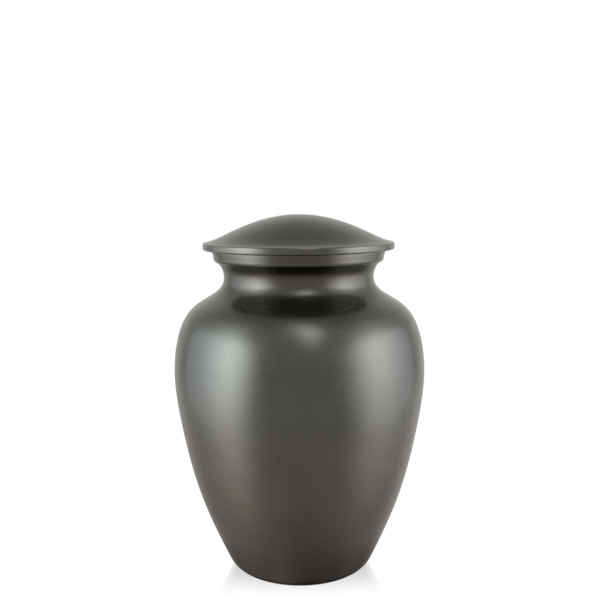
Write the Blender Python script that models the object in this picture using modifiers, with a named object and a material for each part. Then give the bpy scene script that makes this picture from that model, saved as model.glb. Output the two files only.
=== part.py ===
"""A cremation urn: a hollow metal vessel on a rounded foot, and a domed lid that lifts off.

Sizes are in metres and angles in degrees. Both pieces are turned about the Z axis. The origin lies on the
standing surface, under the middle of the foot. An outline is a list of (radius, height) points.
"""

import math

import bpy
import numpy as np

# Vessel, from the standing surface up
BODY_HEIGHT = 0.2184
WALL = 0.0018
FOOT_RADIUS = 0.0377
FOOT_ROUNDING = 0.0132
FOOT_SLOPE = 64.7
FOOT_RING_WIDTH = 0.006
FOOT_RECESS = 0.0015
BELLY_RADIUS = 0.0845
BELLY_HEIGHT = 0.1378
NECK_RADIUS = 0.0504
NECK_DEPTH = 0.0196

# Lip at the mouth
LIP_PROJECTION = 0.0079
LIP_HEIGHT = 0.0076
LIP_UNDERCUT = 0.0025
LIP_TAPER = 0.0011
LIP_ROUNDING = 0.0034
LIP_SLOPE = 25.0
EDGE_ROUNDING = 0.0005

# Lid
LID_HEIGHT = 0.0231
LID_WALL = 0.0018
LID_OVERHANG = 0.0058
RIM_HEIGHT = 0.0046
RIM_ROUNDING = 0.001
RIM_SLOPE = 10.0
SPIGOT_DEPTH = 0.009
SPIGOT_WALL = 0.002

# Fits
SEAT_GAP = 0.0003
SPIGOT_CLEARANCE = 0.0004

# Swell of the free curves. A station is (share of the radius, share of the height) between two sizes above.
SIDE_STATIONS = ((0.52, 0.33), (0.89, 0.73))
SHOULDER_STATIONS = ((0.94, 0.32), (0.59, 0.70))
DOME_STATIONS = ((0.37, 0.17), (0.72, 0.62), (0.90, 0.90))

# Fineness of the turned solids
TURN_STEPS = 56
WALL_STEPS = 3
DOME_STEPS = 3
ROUNDING_STEPS = 4
EDGE_STEPS = 2
MERGE_DISTANCE = 0.00005
SHARP_ANGLE = 35.0

# Looks: dark pewter-coloured plating with a satin lacquer
PEWTER_COLOUR = (0.15, 0.146, 0.135, 1.0)
PEWTER_METALLIC = 0.9
PEWTER_ROUGHNESS = 0.36

# Sizes that follow from the ones above
MOUTH_RADIUS = NECK_RADIUS - WALL
LIP_RADIUS = NECK_RADIUS + LIP_PROJECTION
RIM_RADIUS = LIP_RADIUS + LID_OVERHANG
SEAT_HEIGHT = BODY_HEIGHT + SEAT_GAP
SPIGOT_RADIUS = MOUTH_RADIUS - SPIGOT_CLEARANCE


def direction(degrees):
    """The unit vector that points this far round from straight outward, towards straight up."""
    angle = math.radians(degrees)
    return np.array([math.cos(angle), math.sin(angle)])


def arc(centre, radii, first, last, steps):
    """Points on an arc from one angle to another, both ends included, from the first radius to the second."""
    sweep = zip(np.linspace(radii[0], radii[1], steps + 1), np.linspace(first, last, steps + 1))
    return [np.array(centre) + radius * direction(angle) for radius, angle in sweep]


def rounding(centre, radius, first, last, steps):
    """Points on an arc of one radius, both ends included."""
    return arc(centre, (radius, radius), first, last, steps)


def smooth_curve(stations, first_slope, last_slope, steps):
    """A cubic curve of even curvature through the stations, leaving and arriving at the two slopes.

    Returns its points, with so many steps between stations, and the unit direction at each.
    """
    points = np.array(stations)
    last = len(points) - 1
    chords = np.hypot(*np.diff(points, axis=0).T)
    system = np.eye(last + 1)
    ends = np.zeros((last + 1, 2))
    ends[0] = direction(first_slope)
    ends[last] = direction(last_slope)
    for i in range(1, last):
        before, after = chords[i - 1], chords[i]
        system[i, i - 1 : i + 2] = after, 2 * (before + after), before
        rise_before = (points[i] - points[i - 1]) / before
        rise_after = (points[i + 1] - points[i]) / after
        ends[i] = 3 * (after * rise_before + before * rise_after)
    slopes = np.linalg.solve(system, ends)
    path, directions = [points[0]], [slopes[0]]
    for i in range(last):
        reach = chords[i]
        step = points[i + 1] - points[i]
        for share in np.arange(1, steps + 1) / steps:
            rest = 1 - share
            path.append(
                points[i]
                + (3 - 2 * share) * share**2 * step
                + reach * share * rest * (rest * slopes[i] - share * slopes[i + 1])
            )
            directions.append(
                6 * share * rest * step / reach
                + rest * (1 - 3 * share) * slopes[i]
                + share * (3 * share - 2) * slopes[i + 1]
            )
    return path, [vector / np.hypot(*vector) for vector in directions]


def stations_between(low, high, shares):
    """Points between two others, each at its share of the way outward and its share of the way up."""
    return [np.array(low) + (np.array(high) - np.array(low)) * np.array(share) for share in shares]


def offset(path, directions, distance):
    """The same path, moved sideways to the left of its direction."""
    return [
        point + distance * np.array([-along[1], along[0]])
        for point, along in zip(path, directions)
    ]


def vessel_wall():
    """The foot's edge, the wall's outside from there to the lip, its directions and the neck's index."""
    foot_edge = rounding((FOOT_RADIUS, FOOT_ROUNDING), FOOT_ROUNDING, -90, FOOT_SLOPE - 90, ROUNDING_STEPS)
    foot_top = foot_edge[-1]
    belly = np.array([BELLY_RADIUS, BELLY_HEIGHT])
    neck = np.array([NECK_RADIUS, BODY_HEIGHT - NECK_DEPTH])
    lip_root = np.array([LIP_RADIUS - LIP_UNDERCUT, BODY_HEIGHT - LIP_HEIGHT])
    belly_foot = np.array([neck[0], belly[1]])
    belly_top = np.array([belly[0], neck[1]])
    sides = stations_between(foot_top, belly, SIDE_STATIONS)
    shoulder = stations_between(belly_foot, belly_top, SHOULDER_STATIONS)
    stations = [foot_top, *sides, belly, *shoulder, neck, lip_root]
    path, directions = smooth_curve(stations, FOOT_SLOPE, LIP_SLOPE, WALL_STEPS)
    neck_index = (len(stations) - 2) * WALL_STEPS
    return foot_edge, path, directions, neck_index


def rounded_corner(start, corner, end, steps):
    """Points on a curve from start to end that bends towards the corner, without its two ends."""
    shares = np.arange(1, steps) / steps
    return [(1 - s) ** 2 * start + 2 * s * (1 - s) * corner + s**2 * end for s in shares]


def lip_outline(root):
    """The lip's outside, from its face down to where the neck's curve starts."""
    edge_centre = (LIP_RADIUS - EDGE_ROUNDING, BODY_HEIGHT - EDGE_ROUNDING)
    edge = rounding(edge_centre, EDGE_ROUNDING, 90, 0, EDGE_STEPS)
    band_foot = np.array([LIP_RADIUS - LIP_TAPER, root[1] + LIP_ROUNDING])
    corner = np.array([band_foot[0], root[1] + math.tan(math.radians(LIP_SLOPE)) * (band_foot[0] - root[0])])
    return [*edge, band_foot, *rounded_corner(band_foot, corner, root, ROUNDING_STEPS)]


def vessel_outline():
    """The vessel's outline, from the middle of its floor inside, over the lip and down to the underside."""
    foot_edge, wall, directions, neck_index = vessel_wall()
    floor_height = FOOT_RECESS + WALL
    inner_radii = (FOOT_ROUNDING - floor_height, FOOT_ROUNDING - WALL)
    inner_foot = arc((FOOT_RADIUS, FOOT_ROUNDING), inner_radii, -90, FOOT_SLOPE - 90, ROUNDING_STEPS)
    inner_wall = offset(wall, directions, WALL)[1:neck_index]
    bore = [
        (MOUTH_RADIUS, BODY_HEIGHT - NECK_DEPTH),
        (MOUTH_RADIUS, BODY_HEIGHT - EDGE_ROUNDING),
        (MOUTH_RADIUS + EDGE_ROUNDING, BODY_HEIGHT),
    ]
    ring_radius = FOOT_RADIUS - FOOT_RING_WIDTH
    underside = [(ring_radius, 0.0), (ring_radius - FOOT_RECESS, FOOT_RECESS), (0.0, FOOT_RECESS)]
    return [
        (0.0, floor_height),
        *inner_foot,
        *inner_wall,
        *bore,
        *lip_outline(wall[-1]),
        *wall[-2::-1],
        *foot_edge[-2::-1],
        *underside,
    ]


def lid_outline():
    """The lid's outline, from its top to the rim, round the spigot and up to the middle of its inside."""
    top = np.array([0.0, SEAT_HEIGHT + LID_HEIGHT])
    rim_top = np.array([RIM_RADIUS - RIM_ROUNDING, SEAT_HEIGHT + RIM_HEIGHT])
    stations = [top, *stations_between(top, rim_top, DOME_STATIONS), rim_top]
    dome, directions = smooth_curve(stations, 0.0, -RIM_SLOPE, DOME_STEPS)
    upper_edge = rounding(rim_top - (0.0, RIM_ROUNDING), RIM_ROUNDING, 90, 0, EDGE_STEPS)
    lower_edge = rounding((rim_top[0], SEAT_HEIGHT + RIM_ROUNDING), RIM_ROUNDING, 0, -90, EDGE_STEPS)
    spigot_foot = SEAT_HEIGHT - SPIGOT_DEPTH
    spigot_inside = SPIGOT_RADIUS - SPIGOT_WALL
    spigot = [
        (SPIGOT_RADIUS, SEAT_HEIGHT),
        (SPIGOT_RADIUS, spigot_foot + EDGE_ROUNDING),
        (SPIGOT_RADIUS - EDGE_ROUNDING, spigot_foot),
        (spigot_inside, spigot_foot),
    ]
    inside = np.array(offset(dome, directions, -LID_WALL))
    ceiling_edge = np.interp(spigot_inside, inside[:, 0], inside[:, 1])
    ceiling = [point for point in inside[::-1] if point[0] < spigot_inside - LID_WALL]
    return [*dome[:-1], *upper_edge, *lower_edge, *spigot, (spigot_inside, ceiling_edge), *ceiling]


def turn(name, outline, material, collection):
    """Turns an outline about the Z axis into a closed solid. The outline runs down the outer side."""
    mesh = bpy.data.meshes.new(name)
    points = [(float(radius), 0.0, float(height)) for radius, height in outline]
    mesh.from_pydata(points, [(i, i + 1) for i in range(len(points) - 1)], [])
    profile = bpy.data.objects.new(name, mesh)
    collection.objects.link(profile)
    screw = profile.modifiers.new("Turn", "SCREW")
    screw.axis = "Z"
    screw.angle = math.tau
    screw.steps = TURN_STEPS
    screw.render_steps = TURN_STEPS
    screw.use_merge_vertices = True
    screw.merge_threshold = MERGE_DISTANCE
    bpy.context.view_layer.update()
    turned = bpy.data.meshes.new_from_object(profile.evaluated_get(bpy.context.evaluated_depsgraph_get()))
    profile.modifiers.clear()
    profile.data = turned
    bpy.data.meshes.remove(mesh)
    turned.name = name
    turned.shade_smooth()
    turned.set_sharp_from_angle(angle=math.radians(SHARP_ANGLE))
    turned.materials.append(material)
    return profile


def metal(name):
    """The dark pewter finish, the same on both pieces, in a material of its own for each."""
    material = bpy.data.materials.new(name)
    material.use_nodes = True
    shader = material.node_tree.nodes["Principled BSDF"]
    shader.inputs["Base Color"].default_value = PEWTER_COLOUR
    shader.inputs["Metallic"].default_value = PEWTER_METALLIC
    shader.inputs["Roughness"].default_value = PEWTER_ROUGHNESS
    material.diffuse_color = PEWTER_COLOUR
    return material


def clear_scene():
    """Removes every object that the file opened with."""
    for thing in list(bpy.data.objects):
        bpy.data.objects.remove(thing, do_unlink=True)


def main():
    """Builds the vessel and its lid in a collection named for the urn."""
    clear_scene()
    urn = bpy.data.collections.new("cremation_urn")
    bpy.context.scene.collection.children.link(urn)
    turn("urn_body", vessel_outline(), metal("body_pewter"), urn)
    turn("lid", lid_outline(), metal("lid_pewter"), urn)


if __name__ == "__main__":
    main()
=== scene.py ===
"""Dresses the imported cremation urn: finely turned pewter-coloured surfaces, and a small studio round them.

Sizes are in metres, and angles in degrees unless they say otherwise. Both pieces are turned about the Z axis,
which stands on the floor under the middle of the foot. An outline is a list of (radius, height) points.
"""

import math

import bpy
import numpy as np
from mathutils import Euler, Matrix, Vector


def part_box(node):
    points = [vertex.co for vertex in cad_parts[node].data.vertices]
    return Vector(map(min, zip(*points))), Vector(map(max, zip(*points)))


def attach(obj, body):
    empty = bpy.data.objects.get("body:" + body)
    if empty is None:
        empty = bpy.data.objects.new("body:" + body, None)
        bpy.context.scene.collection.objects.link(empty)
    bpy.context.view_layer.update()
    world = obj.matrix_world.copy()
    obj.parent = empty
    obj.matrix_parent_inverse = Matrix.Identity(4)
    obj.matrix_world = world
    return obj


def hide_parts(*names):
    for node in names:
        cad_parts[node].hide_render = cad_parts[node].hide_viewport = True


bl_info = {
    "name": "Pewter Urn",
    "version": (1, 0, 0),
    "blender": (4, 5, 0),
    "location": "3D View > Sidebar > Urn",
    "description": "Builds a lidded metal urn with a lacquered pewter finish and a studio to show it in",
    "category": "Object",
}

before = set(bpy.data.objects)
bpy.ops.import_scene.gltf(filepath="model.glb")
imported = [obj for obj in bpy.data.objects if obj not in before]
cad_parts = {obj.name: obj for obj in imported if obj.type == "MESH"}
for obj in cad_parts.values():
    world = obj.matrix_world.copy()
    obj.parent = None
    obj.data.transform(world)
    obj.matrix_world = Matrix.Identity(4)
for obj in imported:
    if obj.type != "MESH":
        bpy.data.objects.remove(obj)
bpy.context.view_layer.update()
_, BODY_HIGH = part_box("urn_body")
LID_LOW, LID_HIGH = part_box("lid")

# Swell of the free curves. A station is (share of the radius, share of the height) between two named places.
SIDE_STATIONS = ((0.52, 0.33), (0.89, 0.73))
SHOULDER_STATIONS = ((0.94, 0.32), (0.59, 0.70))
DOME_STATIONS = ((0.37, 0.17), (0.72, 0.62), (0.90, 0.90))
FOOT_SLOPE = 64.7
LIP_SLOPE = 25.0
RIM_SLOPE = 10.0

# Fineness of the turned surfaces
TURN_STEPS = 256
WALL_STEPS = 14
INSIDE_STEPS = 5
ROUNDING_STEPS = 12
EDGE_STEPS = 6
MERGE_DISTANCE = 0.00001
SHARP_ANGLE = 40.0

# The picture's frame, and the lens that its pixels stand for
PICTURE_PIXELS = 600
FOCAL_PIXELS = 851.6
SENSOR_WIDTH = 36.0

# Finish of the metal: heights in metres, levels of noise, and changes of brightness, roughness and relief
COLOUR_RISE = (0.04, 0.14)
PATCH_LEVELS = (0.42, 0.68)
PATCH_TOP = (0.08, 0.13, 1.0, 0.0)
NOISE_RANGE = (0.3, 0.7)
CLOUD_SHADE = 0.06
FINE_SHADE = 0.03
BROAD_SHADE = 0.01
WORN_HIGHLIGHT_SHARE = (0.35, 0.65, 0.25, 0.85)
SPECK_STRENGTH = 0.35
GRAIN_ROUGHNESS = 0.03
CLOUD_ROUGHNESS = (-0.015, 0.02)
MARK_ROUGHNESS = 0.06
WORN_SMOOTHNESS = 0.08
BROAD_RELIEF = 0.15
MARK_RELIEF = 0.6
RELIEF_HEIGHT = 0.0001
BODY_SEED = 1.0
LID_SEED = 5.0
SMALL_CLOUD_SEED = 3.0
HUE_SEED = 11.0

# Hair-thin marks: what they turn about, how wide they are, and where their patches start and end
HAIR_AXIS = (1.0, 1.0, 0.0)
HAIR_WIDTH = 0.012
HAIR_PATCH_SEED = 7.0
HAIR_BARE_LEVEL = 0.8
HAIR_LEVEL_FALL = 0.4
HAIR_PATCH_SOFTNESS = 0.06

# Widths of the lighter rings on worn edges, which are painted highlights too; where the tones, with the
# neck's painted shade, and the bands of painted shade start and end above the lip's foot or the lid's rim
LIP_WEAR_HIGHLIGHT = 0.0012
FOOT_WEAR_HIGHLIGHT = 0.003
RIM_TOP_WEAR_HIGHLIGHT = 0.0011
RIM_FOOT_WEAR_HIGHLIGHT = 0.0009
NECK_TONE = (-0.038, -0.014)
NECK_SHADE_BAND = (-0.0092, 0.0007)
NECK_SHADE_BAND_SOFTNESS = (0.0065, 0.0008)
DOME_TONE = (-0.0008, 0.0015)
RIM_WARMTH = 0.2
SEAT_SHADE_BAND_TOP = 0.0003
SEAT_SHADE_BAND_SOFTNESS = (0.001, 0.0002)

# Soft steps of the light: two angles in degrees, then the values there if they aren't 0 and 1
LEAN_LOW = (-35, -5, math.radians(6), 0.0)
LEAN_HIGH = (12, 60, 0.0, math.radians(22))
WALL_SIDES = (110, 170)
WALL_FOOT = (-2, 8)
WALL_TOP = (17, 52, 1.0, 0.0)
BACKDROP_START = (-25, -8, math.radians(98), math.radians(123))
BACKDROP_TOP = (0, 12, 1.0, 0.0)
BACKDROP_END = (130, 150, 1.0, 0.72)
SCREEN_INNER = (50, 75)
FLOOR_LEFT = (-80, -5, 0.45, 0.0)
FLOOR_RIGHT = (5, 70, 0.43, 0.27)
FLOOR_END = (5, 45, math.radians(-45), math.radians(-52))
FRONT_FOOT = (-12, -4)
FRONT_TOP = (2, 12, 1.0, 0.0)
FRONT_SIDES = (15, 40)
UNDER_TOP = (-46, -34, 1.0, 0.0)
UNDER_SIDES = (125, 150, 0.0, 0.75)
ABOVE_FOOT = (48, 64, 0.0, 0.28)
ABOVE_SIDES = (25, 50)
ROOM_COLOUR_RISE = (-15, 20)
LIGHT_COLOUR_RISE = (-38, -8)

# Other bounds of the light, with angles in radians
LEFT_TO_RIGHT = (-1.5, 1.5)
BACKDROP_LOW = (math.radians(-36), math.radians(-48))
BACKDROP_FOOT = math.radians(-8)
BACKDROP_FULL = math.radians(150)
BACKDROP_SIDES = (0.9, 1.1)
FLOOR_START = math.radians(-77)
SCREEN_SOFTNESS = (0.04, 0.02)
SCREEN_HALF_HEIGHT = (0.51, 0.61)
SIDE_FADE_START = math.radians(60)
SIDE_FADE_POWER = 2.6
SIDE_FOOT_SOFTNESS = 1.38
SIDE_TOP_POWER = 2.0
LEAST_REACH = 0.1

# Azimuth that the screens at both sides face from
SCREEN_AZIMUTH = 65.5

# The floor: its size and whiteness, where it shows an image of the urn, and where the foot darkens it
FLOOR_REACH = 3.0
FLOOR_WHITE = 1.01
WALL_IN_FLOOR = 0.8
IMAGE_FRONT = (-0.062, -0.010)
IMAGE_REACH = (0.07, 0.22, 1.0, 0.0)
IMAGE_ROUGHNESS = 0.03
CONTACT_SIDES = (-0.6, 0.6)
CONTACT_FRONT = (-0.98, -0.85, 0.3, 1.0)
CONTACT_REACH = (0.052, 0.082)


def length_property(name, description, default):
    """A size that a user can change, in metres."""
    return bpy.props.FloatProperty(
        name=name, description=description, default=default, min=0.0, unit="LENGTH", precision=4
    )


def angle_property(name, description, default):
    """An angle that a user can change. Its default is given in degrees."""
    return bpy.props.FloatProperty(
        name=name, description=description, default=math.radians(default), unit="ROTATION"
    )


def share_property(name, description, default, top=1.0):
    """A number from zero upward that a user can change."""
    return bpy.props.FloatProperty(name=name, description=description, default=default, min=0.0, max=top)


def colour_property(name, description, default):
    """A colour that a user can change."""
    return bpy.props.FloatVectorProperty(
        name=name, description=description, default=default, min=0.0, max=1.0, size=3, subtype="COLOR"
    )


class UrnSizes(bpy.types.PropertyGroup):
    """Sizes of the vessel and the lid. The outer ones come from the frame."""

    body_height: length_property("Body height", "From the floor to the lip's face", BODY_HIGH.z)
    belly_radius: length_property("Belly radius", "Radius at the widest place", BODY_HIGH.x)
    belly_height: length_property("Belly height", "Height of the widest place", 0.1378)
    foot_radius: length_property("Foot radius", "Radius of the ring that the urn stands on", 0.0377)
    foot_rounding: length_property("Foot rounding", "Radius of the foot's rounded edge", 0.0132)
    foot_ring_width: length_property("Foot ring width", "Width of the ring that the urn stands on", 0.006)
    foot_recess: length_property("Foot recess", "How far the underside is raised inside the ring", 0.0015)
    wall: length_property("Wall", "Thickness of the vessel's wall", 0.0018)
    neck_radius: length_property("Neck radius", "Radius at the narrowest place", 0.0504)
    neck_depth: length_property("Neck depth", "From the lip's face down to the narrowest place", 0.0196)
    lip_projection: length_property("Lip projection", "How far the lip stands out from the neck", 0.0079)
    lip_height: length_property("Lip height", "From the lip's face down to the neck", 0.0076)
    lip_undercut: length_property("Lip undercut", "How far the lip's lower edge is drawn in", 0.0025)
    lip_taper: length_property("Lip taper", "How much narrower the band is at its foot", 0.0011)
    lip_rounding: length_property("Lip rounding", "Height of the lip's rounded lower edge", 0.0034)
    edge_rounding: length_property("Edge rounding", "Radius of the broken sharp edges", 0.0005)
    lid_top: length_property("Lid top", "Height of the lid's top above the floor", LID_HIGH.z)
    rim_radius: length_property("Rim radius", "Radius of the lid's rim", LID_HIGH.x)
    rim_height: length_property("Rim height", "Height of the band round the lid's rim", 0.0046)
    rim_rounding: length_property("Rim rounding", "Radius of the rim's edges", 0.001)
    lid_wall: length_property("Lid wall", "Thickness of the lid's dome", 0.0018)
    seat_gap: length_property("Seat gap", "Gap between the lip's face and the lid", 0.0003)
    spigot_clearance: length_property("Spigot clearance", "Gap between the spigot and the mouth", 0.0004)
    spigot_foot: length_property("Spigot foot", "Height of the spigot's lower end above the floor", LID_LOW.z)
    spigot_wall: length_property("Spigot wall", "Thickness of the spigot", 0.002)


class PewterLook(bpy.types.PropertyGroup):
    """Colours and finish of the metal, with its painted shade and painted edge highlights."""

    upper_colour: colour_property("Upper colour", "Metal of the shoulder and lid", (0.212, 0.213, 0.197))
    lower_colour: colour_property("Lower colour", "Metal towards the foot", (0.228, 0.209, 0.190))
    warm_colour: colour_property("Warm colour", "Metal in the faint brown patches", (0.225, 0.186, 0.165))
    mottling: share_property("Mottling", "Strength of the faint brown patches", 0.35)
    neck_warmth: share_property("Neck warmth", "How brown the metal of the neck and lip is", 0.3)
    # Painted shade: the neck and lip are drawn darker than the rest of the vessel
    painted_neck_shade: share_property("Painted neck shade", "Brightness of the neck and lip beside the rest", 0.85, 2.0)
    rim_shade: share_property("Rim shade", "Brightness of the lid's rim beside the vessel", 1.08, 2.0)
    lid_shade: share_property("Lid shade", "Brightness of the lid's dome beside the vessel", 0.84, 2.0)
    # Painted shade: the dark colour drawn in the band under the lip and in the lid's seat
    painted_shade_colour: colour_property("Painted shade colour", "Dark colour painted as shade in recesses", (0.026, 0.022, 0.019))
    # Painted highlight as well as wear: the lighter colour drawn on worn edges, also used for the dust specks
    highlight_wear_and_dust_colour: colour_property("Highlight, wear and dust colour", "Lighter metal of worn edges and specks, also painted as edge highlights", (0.34, 0.335, 0.31))
    roughness: share_property("Roughness", "Roughness of the satin metal", 0.28)
    grain_depth: share_property("Grain depth", "Strength of the turned lines' relief", 0.07)
    lacquer: share_property("Lacquer", "Strength of the clear lacquer over the metal", 0.5)
    lacquer_roughness: share_property("Lacquer roughness", "Roughness of the clear lacquer", 0.06)


class StudioLook(bpy.types.PropertyGroup):
    """The camera, the light round the urn and the pale floor. Azimuth 0 is the camera's side."""

    camera_distance: length_property("Camera distance", "From the urn's axis to the camera", 0.572)
    camera_height: length_property("Camera height", "Height of the camera above the floor", 0.256)
    camera_pitch: angle_property("Camera pitch", "How far the camera looks down", 7.18)
    camera_turn: angle_property("Camera turn", "How far the camera looks to the right of the axis", 0.07)
    camera_roll: angle_property("Camera roll", "How far the camera leans to the right", 0.42)
    room_light: share_property("Room light", "Brightness of the room all round", 0.277)
    front_shade: share_property("Front shade", "How much dimmer the room is behind the camera", 0.08)
    wall_light: share_property("Wall light", "How much brighter the wall behind is", 0.29)
    backdrop_light: share_property("Backdrop light", "How much brighter the low backdrop is", 0.40)
    left_light: share_property("Left light", "Brightness of the left light", 2.94, 100.0)
    left_inner: angle_property("Left inner edge", "Azimuth of the left light's inner edge", 34.5)
    left_soft: angle_property("Left inner softness", "Width of the left light's inner edge", 38.6)
    left_outer: angle_property("Left outer edge", "Azimuth where the left light ends", 139.0)
    right_light: share_property("Right light", "Brightness of the right light", 3.4, 100.0)
    right_inner: angle_property("Right inner edge", "Azimuth of the right light's inner edge", 35.5)
    right_soft: angle_property("Right inner softness", "Width of the right light's inner edge", 58.0)
    right_outer: angle_property("Right outer edge", "Azimuth where the right light ends", 147.8)
    left_foot: angle_property("Left foot", "Elevation of the left light's lower edge", -60.5)
    right_foot: angle_property("Right foot", "Elevation of the right light's lower edge", -57.5)
    light_full: angle_property("Light full", "Elevation above which the side lights fade", 20.5)
    left_top: angle_property("Left top", "Elevation of the left light's upper edge", 72.0)
    right_top: angle_property("Right top", "Elevation of the right light's upper edge", 66.0)
    screen_light: share_property("Screen light", "Brightness of the screens behind the lights", 0.36)
    screen_edge: angle_property("Screen edge", "Azimuth of the screens' outer edge", 123.5)
    high_light: share_property("High light", "Brightness of the light above the front", 1.19, 100.0)
    high_azimuth: angle_property("High light's azimuth", "Azimuth of that light's middle", 12.7)
    high_elevation: angle_property("High light's elevation", "Elevation of that light's middle", 54.9)
    low_tint: colour_property("Low tint", "Colour of the light off the floor", (1.0, 0.942, 0.898))
    room_tint: colour_property("Room tint", "Colour of the room's light", (0.99, 1.0, 0.94))
    screen_tint: colour_property("Screen tint", "Colour of the screens' light", (0.76, 0.88, 1.0))
    left_tint: colour_property("Left tint", "Colour of the left light", (0.938, 1.0, 1.0))
    right_tint: colour_property("Right tint", "Colour of the right light", (0.99, 1.0, 0.985))
    floor_image: share_property("Floor image", "Strength of the urn's image in the floor", 0.8)
    left_contact: share_property("Left contact shade", "Shade of the floor at the foot's left", 0.40)
    right_contact: share_property("Right contact shade", "Shade of the floor at the foot's right", 0.52)


# Outlines


def lip_reach(sizes):
    """Radius of the lip's outer edge."""
    return sizes.neck_radius + sizes.lip_projection


def seat_height(sizes):
    """Height of the lid's rim where it rests on the lip."""
    return sizes.body_height + sizes.seat_gap


def direction(degrees):
    """The unit vector that points this far round from straight outward, towards straight up."""
    angle = math.radians(degrees)
    return np.array([math.cos(angle), math.sin(angle)])


def arc(centre, radii, first, last, steps):
    """Points on an arc from one angle to another, both ends included, from the first radius to the second."""
    sweep = zip(np.linspace(radii[0], radii[1], steps + 1), np.linspace(first, last, steps + 1))
    return [np.array(centre) + radius * direction(angle) for radius, angle in sweep]


def rounding(centre, radius, first, last, steps):
    """Points on an arc of one radius, both ends included."""
    return arc(centre, (radius, radius), first, last, steps)


def smooth_curve(stations, first_slope, last_slope, steps):
    """A cubic curve of even curvature through the stations, leaving and arriving at the two slopes.

    Returns its points, with so many steps between stations, and the unit direction at each.
    """
    points = np.array(stations)
    last = len(points) - 1
    chords = np.hypot(*np.diff(points, axis=0).T)
    system = np.eye(last + 1)
    ends = np.zeros((last + 1, 2))
    ends[0] = direction(first_slope)
    ends[last] = direction(last_slope)
    for i in range(1, last):
        before, after = chords[i - 1], chords[i]
        system[i, i - 1 : i + 2] = after, 2 * (before + after), before
        rise_before = (points[i] - points[i - 1]) / before
        rise_after = (points[i + 1] - points[i]) / after
        ends[i] = 3 * (after * rise_before + before * rise_after)
    slopes = np.linalg.solve(system, ends)
    path, directions = [points[0]], [slopes[0]]
    for i in range(last):
        reach = chords[i]
        step = points[i + 1] - points[i]
        for share in np.arange(1, steps + 1) / steps:
            rest = 1 - share
            path.append(
                points[i]
                + (3 - 2 * share) * share**2 * step
                + reach * share * rest * (rest * slopes[i] - share * slopes[i + 1])
            )
            directions.append(
                6 * share * rest * step / reach
                + rest * (1 - 3 * share) * slopes[i]
                + share * (3 * share - 2) * slopes[i + 1]
            )
    return path, [vector / np.hypot(*vector) for vector in directions]


def stations_between(low, high, shares):
    """Points between two others, each at its share of the way outward and its share of the way up."""
    return [np.array(low) + (np.array(high) - np.array(low)) * np.array(share) for share in shares]


def offset(path, directions, distance):
    """The same path, moved sideways to the left of its direction."""
    return [
        point + distance * np.array([-along[1], along[0]])
        for point, along in zip(path, directions)
    ]


def rounded_corner(start, corner, end, steps):
    """Points on a curve from start to end that bends towards the corner, without its two ends."""
    shares = np.arange(1, steps) / steps
    return [(1 - s) ** 2 * start + 2 * s * (1 - s) * corner + s**2 * end for s in shares]


def vessel_wall(sizes, steps):
    """The foot's edge, the wall's outside from there to the lip, its directions and the neck's index."""
    foot_centre = (sizes.foot_radius, sizes.foot_rounding)
    foot_edge = rounding(foot_centre, sizes.foot_rounding, -90, FOOT_SLOPE - 90, ROUNDING_STEPS)
    foot_top = foot_edge[-1]
    lip_radius = lip_reach(sizes)
    belly = np.array([sizes.belly_radius, sizes.belly_height])
    neck = np.array([sizes.neck_radius, sizes.body_height - sizes.neck_depth])
    lip_root = np.array([lip_radius - sizes.lip_undercut, sizes.body_height - sizes.lip_height])
    sides = stations_between(foot_top, belly, SIDE_STATIONS)
    shoulder = stations_between((neck[0], belly[1]), (belly[0], neck[1]), SHOULDER_STATIONS)
    stations = [foot_top, *sides, belly, *shoulder, neck, lip_root]
    path, directions = smooth_curve(stations, FOOT_SLOPE, LIP_SLOPE, steps)
    return foot_edge, path, directions, (len(stations) - 2) * steps


def lip_outline(sizes, root):
    """The lip's outside, from its face down to where the neck's curve starts."""
    lip_radius = lip_reach(sizes)
    edge_centre = (lip_radius - sizes.edge_rounding, sizes.body_height - sizes.edge_rounding)
    edge = rounding(edge_centre, sizes.edge_rounding, 90, 0, EDGE_STEPS)
    band_foot = np.array([lip_radius - sizes.lip_taper, root[1] + sizes.lip_rounding])
    fall = math.tan(math.radians(LIP_SLOPE)) * (band_foot[0] - root[0])
    corner = np.array([band_foot[0], root[1] + fall])
    return [*edge, band_foot, *rounded_corner(band_foot, corner, root, ROUNDING_STEPS)]


def vessel_outline(sizes):
    """The vessel's outline, from the middle of its floor inside, over the lip and down to the underside."""
    foot_edge, wall, _, _ = vessel_wall(sizes, WALL_STEPS)
    _, inside, directions, neck_index = vessel_wall(sizes, INSIDE_STEPS)
    floor_height = sizes.foot_recess + sizes.wall
    foot_centre = (sizes.foot_radius, sizes.foot_rounding)
    inner_radii = (sizes.foot_rounding - floor_height, sizes.foot_rounding - sizes.wall)
    mouth_radius = sizes.neck_radius - sizes.wall
    mouth_edge = (mouth_radius + sizes.edge_rounding, sizes.body_height - sizes.edge_rounding)
    ring_radius = sizes.foot_radius - sizes.foot_ring_width
    return [
        (0.0, floor_height),
        *arc(foot_centre, inner_radii, -90, FOOT_SLOPE - 90, EDGE_STEPS),
        *offset(inside, directions, sizes.wall)[1:neck_index],
        (mouth_radius, sizes.body_height - sizes.neck_depth),
        *rounding(mouth_edge, sizes.edge_rounding, 180, 90, EDGE_STEPS),
        *lip_outline(sizes, wall[-1]),
        *wall[-2::-1],
        *foot_edge[-2::-1],
        (ring_radius, 0.0),
        (ring_radius - sizes.foot_recess, sizes.foot_recess),
        (0.0, sizes.foot_recess),
    ]


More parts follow.
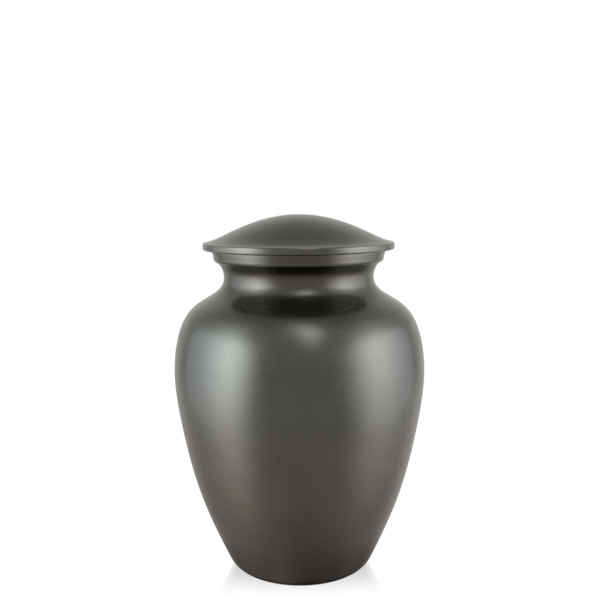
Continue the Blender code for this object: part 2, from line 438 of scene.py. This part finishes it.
def lid_outline(sizes):
    """The lid's outline, from its top to the rim, round the spigot and up to the middle of its inside."""
    seat = seat_height(sizes)
    top = np.array([0.0, sizes.lid_top])
    rim_top = np.array([sizes.rim_radius - sizes.rim_rounding, seat + sizes.rim_height])
    stations = [top, *stations_between(top, rim_top, DOME_STATIONS), rim_top]
    dome, directions = smooth_curve(stations, 0.0, -RIM_SLOPE, WALL_STEPS)
    upper_centre = rim_top - (0.0, sizes.rim_rounding)
    lower_centre = (rim_top[0], seat + sizes.rim_rounding)
    spigot_radius = sizes.neck_radius - sizes.wall - sizes.spigot_clearance
    spigot_inside = spigot_radius - sizes.spigot_wall
    foot_centre = (spigot_radius - sizes.edge_rounding, sizes.spigot_foot + sizes.edge_rounding)
    inside = np.array(offset(dome, directions, -sizes.lid_wall))
    ceiling_edge = np.interp(spigot_inside, inside[:, 0], inside[:, 1])
    ceiling = [point for point in inside[::-1] if point[0] < spigot_inside - sizes.lid_wall]
    return [
        *dome[:-1],
        *rounding(upper_centre, sizes.rim_rounding, 90, 0, EDGE_STEPS),
        *rounding(lower_centre, sizes.rim_rounding, 0, -90, EDGE_STEPS),
        (spigot_radius, seat),
        *rounding(foot_centre, sizes.edge_rounding, 0, -90, EDGE_STEPS),
        (spigot_inside, sizes.spigot_foot),
        (spigot_inside, ceiling_edge),
        *ceiling,
    ]


def turned_piece(name, outline, material):
    """Turns an outline about the Z axis into a closed, smooth piece. The outline runs down the outer side."""
    mesh = bpy.data.meshes.new(name + "_profile")
    points = [(float(radius), 0.0, float(height)) for radius, height in outline]
    mesh.from_pydata(points, [(i, i + 1) for i in range(len(points) - 1)], [])
    piece = bpy.data.objects.new(name, mesh)
    bpy.context.scene.collection.objects.link(piece)
    screw = piece.modifiers.new("Turn", "SCREW")
    screw.axis = "Z"
    screw.angle = math.tau
    screw.steps = TURN_STEPS
    screw.render_steps = TURN_STEPS
    screw.use_merge_vertices = True
    screw.merge_threshold = MERGE_DISTANCE
    bpy.context.view_layer.update()
    turned = bpy.data.meshes.new_from_object(piece.evaluated_get(bpy.context.evaluated_depsgraph_get()))
    piece.modifiers.clear()
    piece.data = turned
    bpy.data.meshes.remove(mesh)
    turned.name = name
    turned.shade_smooth()
    turned.set_sharp_from_angle(angle=math.radians(SHARP_ANGLE))
    turned.materials.append(material)
    return piece


# Building blocks of the shader trees


def new_group(name, inputs, outputs):
    """An empty shader group, the sockets that bring its values in and the sockets that take its results out.

    Each input is a name and a default, and each output a name.
    """
    group = bpy.data.node_groups.new(name, "ShaderNodeTree")
    for socket_name, default in inputs:
        socket = group.interface.new_socket(socket_name, in_out="INPUT", socket_type="NodeSocketFloat")
        socket.default_value = default
    for socket_name in outputs:
        group.interface.new_socket(socket_name, in_out="OUTPUT", socket_type="NodeSocketFloat")
    given = group.nodes.new("NodeGroupInput").outputs[: len(inputs)]
    return group, given, group.nodes.new("NodeGroupOutput").inputs


def plug(tree, socket, value):
    """Links a node's socket to another, or sets it to a plain value."""
    if isinstance(value, bpy.types.NodeSocket):
        tree.links.new(value, socket)
    else:
        socket.default_value = value


def new_node(tree, kind, values=(), **settings):
    """A node with its settings, and its sockets linked or set in order or by name."""
    node = tree.nodes.new(kind)
    for name, setting in settings.items():
        setattr(node, name, setting)
    for key, value in values.items() if isinstance(values, dict) else enumerate(values):
        plug(tree, node.inputs[key], value)
    return node


def math_node(tree, operation, *values, clamp=False):
    """A Math node's output."""
    return new_node(tree, "ShaderNodeMath", values, operation=operation, use_clamp=clamp).outputs[0]


def smooth_step(tree, value, low, high, first=0.0, last=1.0):
    """A soft step of a value, from first at low to last at high."""
    values = (value, low, high, first, last)
    return new_node(tree, "ShaderNodeMapRange", values, interpolation_type="SMOOTHSTEP").outputs[0]


def angle_step(tree, angle, low, high, first=0.0, last=1.0):
    """A soft step of an angle between two angles that are given in degrees."""
    return smooth_step(tree, angle, math.radians(low), math.radians(high), first, last)


def product(tree, first, *others):
    """Values multiplied in turn."""
    for other in others:
        first = math_node(tree, "MULTIPLY", first, other)
    return first


def dimmed(tree, value, shade):
    """A value that has lost a share of itself."""
    return product(tree, value, math_node(tree, "SUBTRACT", 1.0, shade))


def length_of(tree, first, second):
    """The length of two parts that stand at a right angle."""
    squares = [product(tree, part, part) for part in (first, second)]
    return math_node(tree, "SQRT", math_node(tree, "ADD", *squares))


def coordinates(tree, kind="Object"):
    """A surface point's place, or with Generated the direction that a ray of the world takes."""
    return new_node(tree, "ShaderNodeTexCoord").outputs[kind]


def vector_node(tree, *parts):
    """A vector made of three parts."""
    return new_node(tree, "ShaderNodeCombineXYZ", parts).outputs[0]


def split_vector(tree, vector):
    """The three parts of a vector."""
    return new_node(tree, "ShaderNodeSeparateXYZ", (vector,)).outputs


def turned_vector(tree, vector, axis, angle):
    """A vector turned about an axis."""
    values = {"Vector": vector, "Axis": axis, "Angle": angle}
    return new_node(tree, "ShaderNodeVectorRotate", values, rotation_type="AXIS_ANGLE").outputs[0]


def noise_node(tree, **values):
    """The level of a noise texture in four dimensions."""
    named = {name.title(): value for name, value in values.items()}
    return new_node(tree, "ShaderNodeTexNoise", named, noise_dimensions="4D").outputs["Fac"]


def mix_colour(tree, factor, first, second):
    """A colour between two others."""
    node = new_node(tree, "ShaderNodeMix", (factor,), data_type="RGBA")
    for socket, value in zip(node.inputs[6:8], (first, second)):
        plug(tree, socket, value if isinstance(value, bpy.types.NodeSocket) else (*value, 1.0))
    return node.outputs[2]


def scaled_colour(tree, colour, amount):
    """A colour made brighter or darker."""
    values = {0: colour, "Scale": amount}
    return new_node(tree, "ShaderNodeVectorMath", values, operation="SCALE").outputs[0]


def colour_sum(tree, first, *others):
    """Colours added in turn."""
    for other in others:
        first = new_node(tree, "ShaderNodeVectorMath", (first, other), operation="ADD").outputs[0]
    return first


def grey(tree, level):
    """A colour with the same level in its three parts."""
    return new_node(tree, "ShaderNodeCombineColor", (level,) * 3).outputs[0]


def turned_place(tree):
    """A surface point's radius and height, and the cosine and sine of its angle round the axis."""
    across, along, height = split_vector(tree, coordinates(tree))
    radius = length_of(tree, across, along)
    safe_radius = math_node(tree, "MAXIMUM", radius, MERGE_DISTANCE)
    cosine = math_node(tree, "DIVIDE", across, safe_radius)
    sine = math_node(tree, "DIVIDE", along, safe_radius)
    return radius, height, cosine, sine


def effect(tree, group, output, **values):
    """One result of a shader group, which is placed in a tree with its own values."""
    named = {name.replace("_", " ").title(): value for name, value in values.items()}
    return new_node(tree, "ShaderNodeGroup", named, node_tree=bpy.data.node_groups[group]).outputs[output]


def make_groups(effects):
    """Builds each of these shader groups once."""
    for name, build in effects.items():
        if name not in bpy.data.node_groups:
            build(name)


# Effects of the metal, each a shader group that a material gives its own values


def grain_group(name):
    """Fine lines left by turning and polishing. They run round the axis and fade in and out on the way."""
    inputs = (("Lines", 2500.0), ("Change", 5.0), ("Detail", 3.0))
    group, (lines, change, detail), result = new_group(name, inputs, ("Grain",))
    radius, height, cosine, sine = turned_place(group)
    pairs = ((radius, lines), (height, lines), (cosine, change), (sine, change))
    *place, fourth = [product(group, *pair) for pair in pairs]
    noise = noise_node(group, vector=vector_node(group, *place), w=fourth, scale=1.0, detail=detail)
    plug(group, result[0], noise)


def mottle_group(name):
    """Broad, soft, cloudy change, as plating and lacquer have."""
    group, (size, seed), result = new_group(name, (("Size", 0.03), ("Seed", 0.0)), ("Tone",))
    scale = math_node(group, "DIVIDE", 1.0, size)
    noise = noise_node(group, vector=coordinates(group), w=seed, scale=scale, detail=2.0, roughness=0.45)
    plug(group, result[0], noise)


def hairline_group(name):
    """A few hair-thin marks of handling, lying at a slant round the axis."""
    inputs = (("Spacing", 0.02), ("Length", 8.0), ("Slant", 0.3), ("Amount", 0.3), ("Seed", 0.0))
    group, (spacing, length, slant, amount, seed), result = new_group(name, inputs, ("Marks",))
    place = coordinates(group)
    slanted = split_vector(group, turned_vector(group, place, HAIR_AXIS, slant))
    across = math_node(group, "DIVIDE", 1.0, spacing)
    scales = (across, across, product(group, across, length))
    drawn_out = [product(group, part, scale) for part, scale in zip(slanted, scales)]
    noise = noise_node(group, vector=vector_node(group, *drawn_out), w=seed, scale=1.0, detail=1.0)
    from_middle = math_node(group, "ABSOLUTE", math_node(group, "SUBTRACT", noise, 0.5))
    line = smooth_step(group, from_middle, 0.0, HAIR_WIDTH, 1.0, 0.0)
    other_seed = math_node(group, "ADD", seed, HAIR_PATCH_SEED)
    patch = noise_node(group, vector=place, w=other_seed, scale=across)
    level = math_node(group, "SUBTRACT", HAIR_BARE_LEVEL, product(group, amount, HAIR_LEVEL_FALL))
    here = smooth_step(group, patch, level, math_node(group, "ADD", level, HAIR_PATCH_SOFTNESS))
    plug(group, result[0], product(group, line, here))


def edge_highlight_group(name):
    """A ring round a given radius and height where an edge is drawn lighter, as wear and as a painted
    highlight.
    """
    inputs = (("Radius", 0.05), ("Height", 0.0), ("Width", 0.001))
    group, (edge_radius, edge_height, width), result = new_group(name, inputs, ("Wear And Highlight",))
    radius, height, _, _ = turned_place(group)
    outward = math_node(group, "SUBTRACT", radius, edge_radius)
    upward = math_node(group, "SUBTRACT", height, edge_height)
    away = length_of(group, outward, upward)
    plug(group, result[0], smooth_step(group, away, 0.0, width, 1.0, 0.0))


def painted_shade_group(name):
    """Painted shade: a band between two heights, inside a radius, drawn dark where shade falls."""
    ends = (("Foot", 0.0), ("Foot Softness", 0.001), ("Top", 0.01), ("Top Softness", 0.001))
    group, given, result = new_group(name, (*ends, ("Radius", 0.1)), ("Recess",))
    foot, foot_softness, top, top_softness, inner = given
    radius, height, _, _ = turned_place(group)
    from_foot = smooth_step(group, height, foot, math_node(group, "ADD", foot, foot_softness))
    to_top, inside = (
        smooth_step(group, value, math_node(group, "SUBTRACT", end, top_softness), end, 1.0, 0.0)
        for value, end in ((height, top), (radius, inner))
    )
    plug(group, result[0], product(group, from_foot, to_top, inside))


def speck_group(name):
    """Tiny scattered specks, such as dust settled under the lacquer."""
    inputs = (("Spacing", 0.0025), ("Size", 0.1), ("Amount", 0.3))
    group, (spacing, size, amount), result = new_group(name, inputs, ("Specks",))
    place = {"Vector": coordinates(group), "Scale": math_node(group, "DIVIDE", 1.0, spacing)}
    cells = new_node(group, "ShaderNodeTexVoronoi", place)
    dot = smooth_step(group, cells.outputs["Distance"], 0.0, size, 1.0, 0.0)
    chance = new_node(group, "ShaderNodeSeparateColor", (cells.outputs["Color"],))
    chosen = math_node(group, "LESS_THAN", chance.outputs[0], amount)
    plug(group, result[0], product(group, dot, chosen))


METAL_EFFECTS = {
    "Turned Grain": grain_group,
    "Cloudy Tone": mottle_group,
    "Hairlines": hairline_group,
    "Worn Edge Highlight": edge_highlight_group,
    "Painted Shade Band": painted_shade_group,
    "Specks": speck_group,
}


def painted_shade_band(ends, softness, radius):
    """Values for the band of painted shade, between two heights and inside a radius."""
    (foot, top), (foot_softness, top_softness) = ends, softness
    band = {"foot": foot, "foot_softness": foot_softness, "top": top, "top_softness": top_softness}
    return {**band, "radius": radius}


def pewter(name, look, seed, tone, highlit_worn_edges, recess):
    """Satin pewter-coloured metal under clear lacquer, with turned grain, cloudy tone and worn edges drawn
    lighter as painted highlights.

    The tone is (lower height, upper height, brightness below, brightness above, warmth below, warmth above).
    On the vessel the brightness above is painted shade on the neck and lip.
    A worn edge, drawn lighter as a painted highlight, is (radius, height, width). The recess holds the values
    of the band of painted shade.
    """
    material = bpy.data.materials.new(name)
    material.use_nodes = True
    tree = material.node_tree
    shader = tree.nodes["Principled BSDF"]
    height = split_vector(tree, coordinates(tree))[2]
    fine = effect(tree, "Turned Grain", "Grain", lines=2400.0, change=6.0, detail=3.0)
    broad = effect(tree, "Turned Grain", "Grain", lines=700.0, change=2.5, detail=2.0)
    cloud = effect(tree, "Cloudy Tone", "Tone", size=0.035, seed=seed)
    small_cloud = effect(tree, "Cloudy Tone", "Tone", size=0.006, seed=seed + SMALL_CLOUD_SEED)
    hue = effect(tree, "Cloudy Tone", "Tone", size=0.018, seed=seed + HUE_SEED)
    marks = effect(tree, "Hairlines", "Marks", spacing=0.012, length=9.0, slant=0.35, amount=0.45, seed=seed)
    specks = effect(tree, "Specks", "Specks", spacing=0.0022, size=0.09, amount=0.35)
    # Painted shade in the band under the lip, or in the lid's seat
    dark = effect(tree, "Painted Shade Band", "Recess", **recess)
    # Worn edges, drawn lighter as painted highlights as well as wear
    edge_rings = 0.0
    for radius, level, width in highlit_worn_edges:
        ring = effect(tree, "Worn Edge Highlight", "Wear And Highlight", radius=radius, height=level, width=width)
        edge_rings = math_node(tree, "MAXIMUM", ring, edge_rings)
    worn_and_highlit = product(tree, edge_rings, smooth_step(tree, small_cloud, *WORN_HIGHLIGHT_SHARE))

    foot, top, dim_below, dim_above, warm_below, warm_above = tone
    rise = smooth_step(tree, height, *COLOUR_RISE)
    colour = mix_colour(tree, rise, look.lower_colour, look.upper_colour)
    patches = product(tree, smooth_step(tree, hue, *PATCH_LEVELS), look.mottling)
    patches = product(tree, patches, smooth_step(tree, height, *PATCH_TOP))
    warm = math_node(tree, "ADD", patches, smooth_step(tree, height, foot, top, warm_below, warm_above))
    colour = mix_colour(tree, warm, colour, look.warm_colour)
    # On the vessel, the brightness above the tone's heights is painted shade on the neck and lip
    shade = smooth_step(tree, height, foot, top, dim_below, dim_above)
    for noise, change in ((cloud, CLOUD_SHADE), (fine, FINE_SHADE), (broad, BROAD_SHADE)):
        shade = product(tree, shade, smooth_step(tree, noise, *NOISE_RANGE, 1 - change, 1 + change))
    colour = scaled_colour(tree, colour, shade)
    # Lighter worn edges (painted highlights and wear), the band of painted shade, and dust specks
    for share, other in (
        (worn_and_highlit, look.highlight_wear_and_dust_colour),
        (dark, look.painted_shade_colour),
        (product(tree, specks, SPECK_STRENGTH), look.highlight_wear_and_dust_colour),
    ):
        colour = mix_colour(tree, share, colour, other)

    ends = (look.roughness - GRAIN_ROUGHNESS, look.roughness + GRAIN_ROUGHNESS)
    roughness = smooth_step(tree, fine, *NOISE_RANGE, *ends)
    clouded = smooth_step(tree, cloud, *NOISE_RANGE, *CLOUD_ROUGHNESS)
    for part in (clouded, product(tree, marks, MARK_ROUGHNESS)):
        roughness = math_node(tree, "ADD", roughness, part)
    polished = product(tree, worn_and_highlit, WORN_SMOOTHNESS)
    roughness = math_node(tree, "SUBTRACT", roughness, polished, clamp=True)

    relief = math_node(tree, "ADD", product(tree, broad, BROAD_RELIEF), fine)
    relief = math_node(tree, "SUBTRACT", relief, product(tree, marks, MARK_RELIEF))
    values = {"Strength": look.grain_depth, "Distance": RELIEF_HEIGHT, "Height": relief}
    bump = new_node(tree, "ShaderNodeBump", values)
    for socket, value in (
        ("Base Color", colour),
        ("Roughness", roughness),
        ("Normal", bump.outputs["Normal"]),
        ("Metallic", 1.0),
        ("Coat Weight", look.lacquer),
        ("Coat Roughness", look.lacquer_roughness),
    ):
        plug(tree, shader.inputs[socket], value)
    material.diffuse_color = (*look.lower_colour, 1.0)
    return material


# Studio


def direction_group(name):
    """A ray's azimuth, which is 0 at the camera's side and 90 at the right, its elevation and its rise.

    Rise is the height at which the ray meets an upright screen that stands one unit away at either side.
    """
    group, _, result = new_group(name, (), ("Azimuth", "Elevation", "Rise"))
    right, back, up = split_vector(group, coordinates(group, "Generated"))
    azimuth = math_node(group, "ARCTAN2", right, product(group, back, -1.0))
    elevation = math_node(group, "ARCSINE", up)
    either_side = math_node(group, "ABSOLUTE", azimuth)
    from_middle = math_node(group, "SUBTRACT", either_side, math.radians(SCREEN_AZIMUTH))
    reach = math_node(group, "MAXIMUM", math_node(group, "COSINE", from_middle), LEAST_REACH)
    rise = math_node(group, "DIVIDE", math_node(group, "TANGENT", elevation), reach)
    for socket, value in zip(result, (azimuth, elevation, rise)):
        plug(group, socket, value)


def side_light_group(name):
    """A tall soft light at one side, with a soft inner edge, an even fade outward and soft ends."""
    names = ("Azimuth", "Elevation", "Inner", "Soft", "Outer", "Foot", "Full", "Top")
    group, given, result = new_group(name, [(part, 0.0) for part in names], ("Light",))
    azimuth, elevation, inner_edge, soft, outer_edge, foot_edge, full, top_edge = given
    inner = smooth_step(group, azimuth, inner_edge, math_node(group, "ADD", inner_edge, soft))
    left_over = math_node(group, "SUBTRACT", outer_edge, azimuth)
    span = math_node(group, "SUBTRACT", outer_edge, SIDE_FADE_START)
    faded = math_node(group, "MAXIMUM", math_node(group, "DIVIDE", left_over, span), 0.0)
    outer = math_node(group, "POWER", faded, SIDE_FADE_POWER)
    foot = smooth_step(group, elevation, foot_edge, math_node(group, "ADD", foot_edge, SIDE_FOOT_SOFTNESS))
    below = math_node(group, "SUBTRACT", top_edge, elevation)
    fade = math_node(group, "SUBTRACT", top_edge, full)
    top = math_node(group, "POWER", math_node(group, "DIVIDE", below, fade, clamp=True), SIDE_TOP_POWER)
    plug(group, result[0], product(group, inner, outer, product(group, foot, top)))


def high_light_group(name):
    """A long narrow soft light above the front."""
    inputs = (("Azimuth", 0.2), ("Elevation", 1.0), ("Half Width", 0.272), ("Half Length", 0.70))
    group, (azimuth, elevation, half_width, half_length), result = new_group(name, inputs, ("Light",))
    to_front = math_node(group, "SUBTRACT", math.pi / 2, azimuth)
    level = turned_vector(group, coordinates(group, "Generated"), (0.0, 0.0, 1.0), to_front)
    towards, across, along = split_vector(group, turned_vector(group, level, (0.0, 1.0, 0.0), elevation))
    shares = (
        math_node(group, "DIVIDE", part, math_node(group, "SINE", half))
        for part, half in ((across, half_width), (along, half_length))
    )
    spot = smooth_step(group, length_of(group, *shares), 0.0, 1.0, 1.0, 0.0)
    ahead = math_node(group, "GREATER_THAN", towards, 0.0)
    plug(group, result[0], product(group, spot, ahead))


LIGHT_EFFECTS = {
    "Look Direction": direction_group,
    "Side Light": side_light_group,
    "High Light": high_light_group,
}


def side_light(tree, studio, side, azimuth, elevation):
    """The soft light at the left or the right, by its own settings."""
    settings = {part: getattr(studio, f"{side}_{part}") for part in ("inner", "soft", "outer", "foot", "top")}
    settings |= {"azimuth": azimuth, "elevation": elevation, "full": studio.light_full}
    return product(tree, effect(tree, "Side Light", "Light", **settings), getattr(studio, f"{side}_light"))


def side_lights(tree, studio, azimuth, elevation):
    """The lights at the left and the right. Both lean to the same side, low down and high up."""
    lean_low = angle_step(tree, elevation, *LEAN_LOW)
    lean = math_node(tree, "ADD", lean_low, angle_step(tree, elevation, *LEAN_HIGH))
    to_left = math_node(tree, "SUBTRACT", product(tree, azimuth, -1.0), lean)
    to_right = math_node(tree, "SUBTRACT", azimuth, lean)
    left = side_light(tree, studio, "left", to_left, elevation)
    return left, side_light(tree, studio, "right", to_right, elevation)


def wall_part(tree, either_side, elevation):
    """Where the wall behind shows, from 0 to 1."""
    upright = product(tree, angle_step(tree, elevation, *WALL_FOOT), angle_step(tree, elevation, *WALL_TOP))
    return product(tree, angle_step(tree, either_side, *WALL_SIDES), upright)


def backdrop_part(tree, azimuth, either_side, elevation):
    """Where the low backdrop behind the sides shows, from 0 to about 1."""
    start = angle_step(tree, elevation, *BACKDROP_START)
    low = smooth_step(tree, azimuth, *LEFT_TO_RIGHT, *BACKDROP_LOW)
    return product(
        tree,
        smooth_step(tree, either_side, start, BACKDROP_FULL),
        smooth_step(tree, elevation, low, BACKDROP_FOOT),
        angle_step(tree, elevation, *BACKDROP_TOP),
        smooth_step(tree, azimuth, *LEFT_TO_RIGHT, *BACKDROP_SIDES),
        angle_step(tree, either_side, *BACKDROP_END),
    )


def screen_part(tree, either_side, rise, edge):
    """Where the screens at both sides show, from 0 to 1. They reach as far down as up."""
    before, after = SCREEN_SOFTNESS
    return product(
        tree,
        angle_step(tree, either_side, *SCREEN_INNER),
        smooth_step(tree, either_side, edge - before, edge + after, 1.0, 0.0),
        smooth_step(tree, math_node(tree, "ABSOLUTE", rise), *SCREEN_HALF_HEIGHT, 1.0, 0.0),
    )


def room_part(tree, azimuth, either_side, elevation, front_shade):
    """The room's brightness: less on the floor near the urn, in front, low behind and high at the sides."""
    floor_side = math_node(
        tree, "ADD", angle_step(tree, azimuth, *FLOOR_LEFT), angle_step(tree, azimuth, *FLOOR_RIGHT)
    )
    floor_end = angle_step(tree, either_side, *FLOOR_END)
    level = smooth_step(tree, elevation, FLOOR_START, floor_end, floor_side, 1.0)
    for upright, sideways in (
        (
            product(tree, angle_step(tree, elevation, *FRONT_FOOT), angle_step(tree, elevation, *FRONT_TOP)),
            angle_step(tree, either_side, *FRONT_SIDES, front_shade, 0.0),
        ),
        (angle_step(tree, elevation, *UNDER_TOP), angle_step(tree, either_side, *UNDER_SIDES)),
        (angle_step(tree, elevation, *ABOVE_FOOT), angle_step(tree, either_side, *ABOVE_SIDES)),
    ):
        level = dimmed(tree, level, product(tree, upright, sideways))
    return level


def make_world(studio):
    """A white surround for the eye. The metal sees a dim room with soft lights at both sides and above."""
    make_groups(LIGHT_EFFECTS)
    world = bpy.data.worlds.new("studio")
    world.use_nodes = True
    tree = world.node_tree
    looking = bpy.data.node_groups["Look Direction"]
    azimuth, elevation, rise = new_node(tree, "ShaderNodeGroup", node_tree=looking).outputs
    either_side = math_node(tree, "ABSOLUTE", azimuth)
    left, right = side_lights(tree, studio, azimuth, elevation)
    high = effect(tree, "High Light", "Light", azimuth=studio.high_azimuth, elevation=studio.high_elevation)
    wall = wall_part(tree, either_side, elevation)
    backdrop = product(tree, backdrop_part(tree, azimuth, either_side, elevation), studio.backdrop_light)
    screens = product(tree, screen_part(tree, either_side, rise, studio.screen_edge), studio.screen_light)
    room = room_part(tree, azimuth, either_side, elevation, studio.front_shade)
    room = product(tree, room, studio.room_light)
    for part, strength in ((high, studio.high_light), (wall, studio.wall_light)):
        room = math_node(tree, "ADD", product(tree, part, strength), room)
    off_floor = angle_step(tree, elevation, *LIGHT_COLOUR_RISE)
    tinted = [
        scaled_colour(tree, mix_colour(tree, height, studio.low_tint, tint), amount)
        for amount, height, tint in (
            (left, off_floor, studio.left_tint),
            (math_node(tree, "ADD", right, backdrop), off_floor, studio.right_tint),
            (screens, off_floor, studio.screen_tint),
            (room, angle_step(tree, elevation, *ROOM_COLOUR_RISE), studio.room_tint),
        )
    ]
    seen = new_node(tree, "ShaderNodeLightPath").outputs["Is Camera Ray"]
    shown = mix_colour(tree, seen, colour_sum(tree, *tinted), (1.0, 1.0, 1.0))
    tree.links.new(shown, tree.nodes["Background"].inputs["Color"])
    bpy.context.scene.world = world


def floor_material(studio):
    """A white floor that shows the eye a faint image of the urn, fading to the front and away from the urn.

    The metal looks through it at the surround, and sees that darker close to the foot.
    """
    material = bpy.data.materials.new("pale_floor")
    material.use_nodes = True
    tree = material.node_tree
    tree.nodes.remove(tree.nodes["Principled BSDF"])
    radius, _, cosine, sine = turned_place(tree)
    along = split_vector(tree, coordinates(tree))[1]
    near = smooth_step(tree, along, *IMAGE_FRONT, 0.0, studio.floor_image)
    gloss = product(tree, near, smooth_step(tree, radius, *IMAGE_REACH))
    finish = {"Color": grey(tree, gloss), "Roughness": IMAGE_ROUGHNESS}
    image = new_node(tree, "ShaderNodeBsdfGlossy", finish)
    mirrored = product(tree, gloss, studio.room_light + WALL_IN_FLOOR * studio.wall_light)
    strength = math_node(tree, "SUBTRACT", FLOOR_WHITE, mirrored)
    white = new_node(tree, "ShaderNodeEmission", {"Strength": strength})
    both = new_node(tree, "ShaderNodeAddShader", (white.outputs[0], image.outputs[0]))
    dark = smooth_step(tree, cosine, *CONTACT_SIDES, studio.left_contact, studio.right_contact)
    dark = product(tree, dark, smooth_step(tree, sine, *CONTACT_FRONT))
    contact = smooth_step(tree, radius, *CONTACT_REACH, dark, 0.0)
    let_through = grey(tree, math_node(tree, "SUBTRACT", 1.0, contact))
    passing = new_node(tree, "ShaderNodeBsdfTransparent", (let_through,))
    eye = new_node(tree, "ShaderNodeLightPath").outputs["Is Camera Ray"]
    seen = new_node(tree, "ShaderNodeMixShader", (eye, passing.outputs[0], both.outputs[0]))
    tree.links.new(seen.outputs[0], tree.nodes["Material Output"].inputs["Surface"])
    return material


def make_floor(studio):
    """A wide white floor under the urn. It lights nothing, and dims what the metal sees near the foot."""
    mesh = bpy.data.meshes.new("floor")
    corners = [(x * FLOOR_REACH, y * FLOOR_REACH, 0.0) for x, y in ((-1, -1), (1, -1), (1, 1), (-1, 1))]
    mesh.from_pydata(corners, [], [(0, 1, 2, 3)])
    mesh.materials.append(floor_material(studio))
    floor = bpy.data.objects.new("floor", mesh)
    bpy.context.scene.collection.objects.link(floor)
    floor.visible_diffuse = False
    floor.visible_shadow = False


def make_camera(studio):
    """The camera at the picture's viewing angle."""
    data = bpy.data.cameras.new("camera")
    data.sensor_width = SENSOR_WIDTH
    data.lens = FOCAL_PIXELS * SENSOR_WIDTH / PICTURE_PIXELS
    camera = bpy.data.objects.new("camera", data)
    bpy.context.scene.collection.objects.link(camera)
    camera.location = (0.0, -studio.camera_distance, studio.camera_height)
    aim = Euler((math.pi / 2 - studio.camera_pitch, 0.0, -studio.camera_turn)).to_matrix()
    lean = Euler((0.0, 0.0, -studio.camera_roll)).to_matrix()
    camera.rotation_euler = (aim @ lean).to_euler()
    bpy.context.scene.camera = camera


# Operators, the panel and registration


class URN_OT_build_vessel(bpy.types.Operator):
    """Build the hollow vessel with its foot, neck and lip"""

    bl_idname = "urn.build_vessel"
    bl_label = "Build Vessel"

    def execute(self, context):
        sizes = context.scene.urn_sizes
        make_groups(METAL_EFFECTS)
        lip_radius = lip_reach(sizes)
        # The lip's edge and the foot ring are drawn lighter, as painted highlights and as wear
        highlit_worn_edges = (
            (lip_radius, sizes.body_height, LIP_WEAR_HIGHLIGHT),
            (sizes.foot_radius, 0.0, FOOT_WEAR_HIGHLIGHT),
        )
        look = context.scene.pewter_look
        lip_foot = sizes.body_height - sizes.lip_height
        tone_ends = [lip_foot + height for height in NECK_TONE]
        # The neck and lip are drawn darker: painted shade
        tone = (*tone_ends, 1.0, look.painted_neck_shade, 0.0, look.neck_warmth)
        # The band under the lip is drawn dark: painted shade
        shade_band_ends = [lip_foot + height for height in NECK_SHADE_BAND]
        recess = painted_shade_band(shade_band_ends, NECK_SHADE_BAND_SOFTNESS, lip_radius)
        material = pewter("body_pewter", look, BODY_SEED, tone, highlit_worn_edges, recess)
        vessel = turned_piece("pewter_vessel", vessel_outline(sizes), material)
        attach(vessel, "root")
        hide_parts("urn_body")
        return {"FINISHED"}


class URN_OT_build_lid(bpy.types.Operator):
    """Build the domed lid with its rim and spigot"""

    bl_idname = "urn.build_lid"
    bl_label = "Build Lid"

    def execute(self, context):
        sizes = context.scene.urn_sizes
        make_groups(METAL_EFFECTS)
        seat = seat_height(sizes)
        look = context.scene.pewter_look
        rim_top = seat + sizes.rim_height
        # The rim's upper and lower edges are drawn lighter, as painted highlights and as wear
        highlit_worn_edges = (
            (sizes.rim_radius, rim_top, RIM_TOP_WEAR_HIGHLIGHT),
            (sizes.rim_radius, seat, RIM_FOOT_WEAR_HIGHLIGHT),
        )
        tone_ends = [rim_top + height for height in DOME_TONE]
        tone = (*tone_ends, look.rim_shade, look.lid_shade, RIM_WARMTH, 0.0)
        # The lid's seat inside the lip is drawn dark: painted shade in the gap between lid and vessel
        recess = painted_shade_band((0.0, seat + SEAT_SHADE_BAND_TOP), SEAT_SHADE_BAND_SOFTNESS, lip_reach(sizes))
        material = pewter("lid_pewter", look, LID_SEED, tone, highlit_worn_edges, recess)
        lid = turned_piece("pewter_lid", lid_outline(sizes), material)
        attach(lid, "root")
        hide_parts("lid")
        return {"FINISHED"}


class URN_OT_build_studio(bpy.types.Operator):
    """Set up the floor, the lights and the camera"""

    bl_idname = "urn.build_studio"
    bl_label = "Build Studio"

    def execute(self, context):
        studio = context.scene.studio_look
        context.scene.view_settings.view_transform = "Standard"
        make_world(studio)
        make_floor(studio)
        make_camera(studio)
        return {"FINISHED"}


class URN_PT_panel(bpy.types.Panel):
    """The urn's tools and settings"""

    bl_idname = "URN_PT_panel"
    bl_label = "Pewter Urn"
    bl_space_type = "VIEW_3D"
    bl_region_type = "UI"
    bl_category = "Urn"

    def draw(self, context):
        layout = self.layout
        for operator in OPERATORS:
            layout.operator(operator.bl_idname)
        for settings in (context.scene.urn_sizes, context.scene.pewter_look, context.scene.studio_look):
            box = layout.box()
            for name in settings.__annotations__:
                box.prop(settings, name)


OPERATORS = (URN_OT_build_vessel, URN_OT_build_lid, URN_OT_build_studio)
SETTINGS = {"urn_sizes": UrnSizes, "pewter_look": PewterLook, "studio_look": StudioLook}


def register():
    """Registers the classes and hangs the settings on the scene."""
    for thing in (*SETTINGS.values(), *OPERATORS, URN_PT_panel):
        bpy.utils.register_class(thing)
    for name, group in SETTINGS.items():
        setattr(bpy.types.Scene, name, bpy.props.PointerProperty(type=group))


def unregister():
    """Takes the settings off the scene and unregisters the classes."""
    for name in SETTINGS:
        delattr(bpy.types.Scene, name)
    for thing in reversed((*SETTINGS.values(), *OPERATORS, URN_PT_panel)):
        bpy.utils.unregister_class(thing)


def main():
    """Builds the urn and its studio."""
    register()
    bpy.ops.urn.build_vessel()
    bpy.ops.urn.build_lid()
    bpy.ops.urn.build_studio()


if __name__ == "__main__":
    main()
